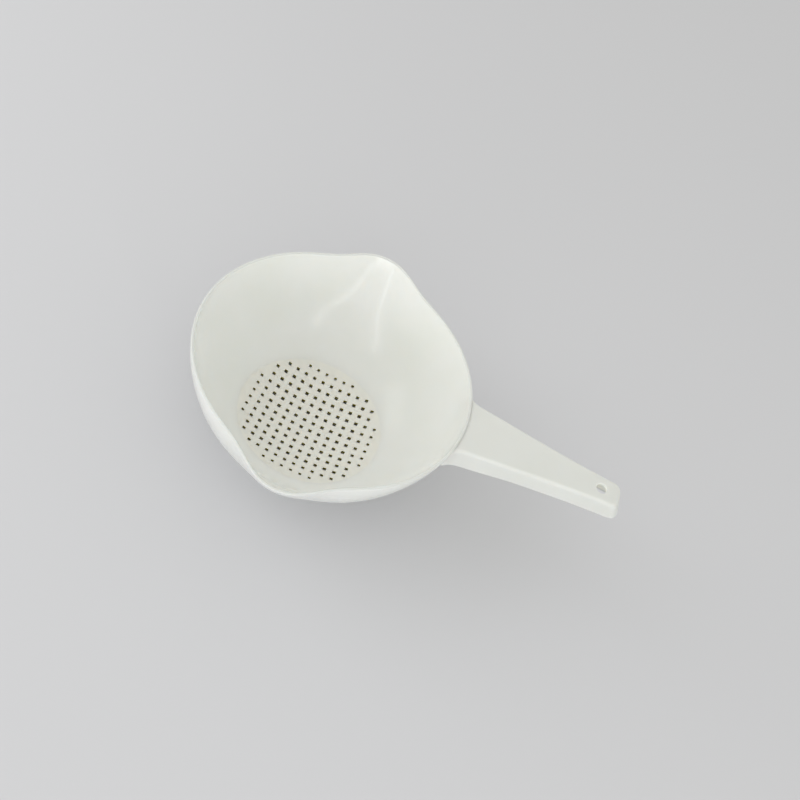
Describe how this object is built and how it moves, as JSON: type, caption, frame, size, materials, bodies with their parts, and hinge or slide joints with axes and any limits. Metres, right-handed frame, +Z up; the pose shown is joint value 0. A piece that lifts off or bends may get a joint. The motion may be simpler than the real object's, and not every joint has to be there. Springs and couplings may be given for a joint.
{
  "type": "two-spouted strainer",
  "caption": "One-handed plastic strainer: round bowl with a dished perforated floor, opposite pouring spouts, a foot ring and a tapered channel handle with a hang hole.",
  "frame": {"origin": "on the surface that the foot ring stands on, under the middle of the whole part's length and width", "axes": "+X from the bowl along the handle, +Y towards the right-hand pouring spout, +Z up"},
  "size_m": [0.3224, 0.2308, 0.0879],
  "materials": {
    "bowl_plastic": "natural milky white, slightly translucent, semi-gloss",
    "handle_plastic": "the same natural milky plastic, thicker and a little greyer, satin"
  },
  "bodies": {
    "root": {"sieve_floor": "bowl_plastic", "bowl_base": "bowl_plastic", "front_wall": "bowl_plastic", "back_wall": "bowl_plastic", "spout_right": "bowl_plastic", "spout_left": "bowl_plastic", "rim_lip": "bowl_plastic", "foot_ring": "bowl_plastic", "handle_top": "handle_plastic", "handle_skirt": "handle_plastic"}
  },
  "joints": []
}
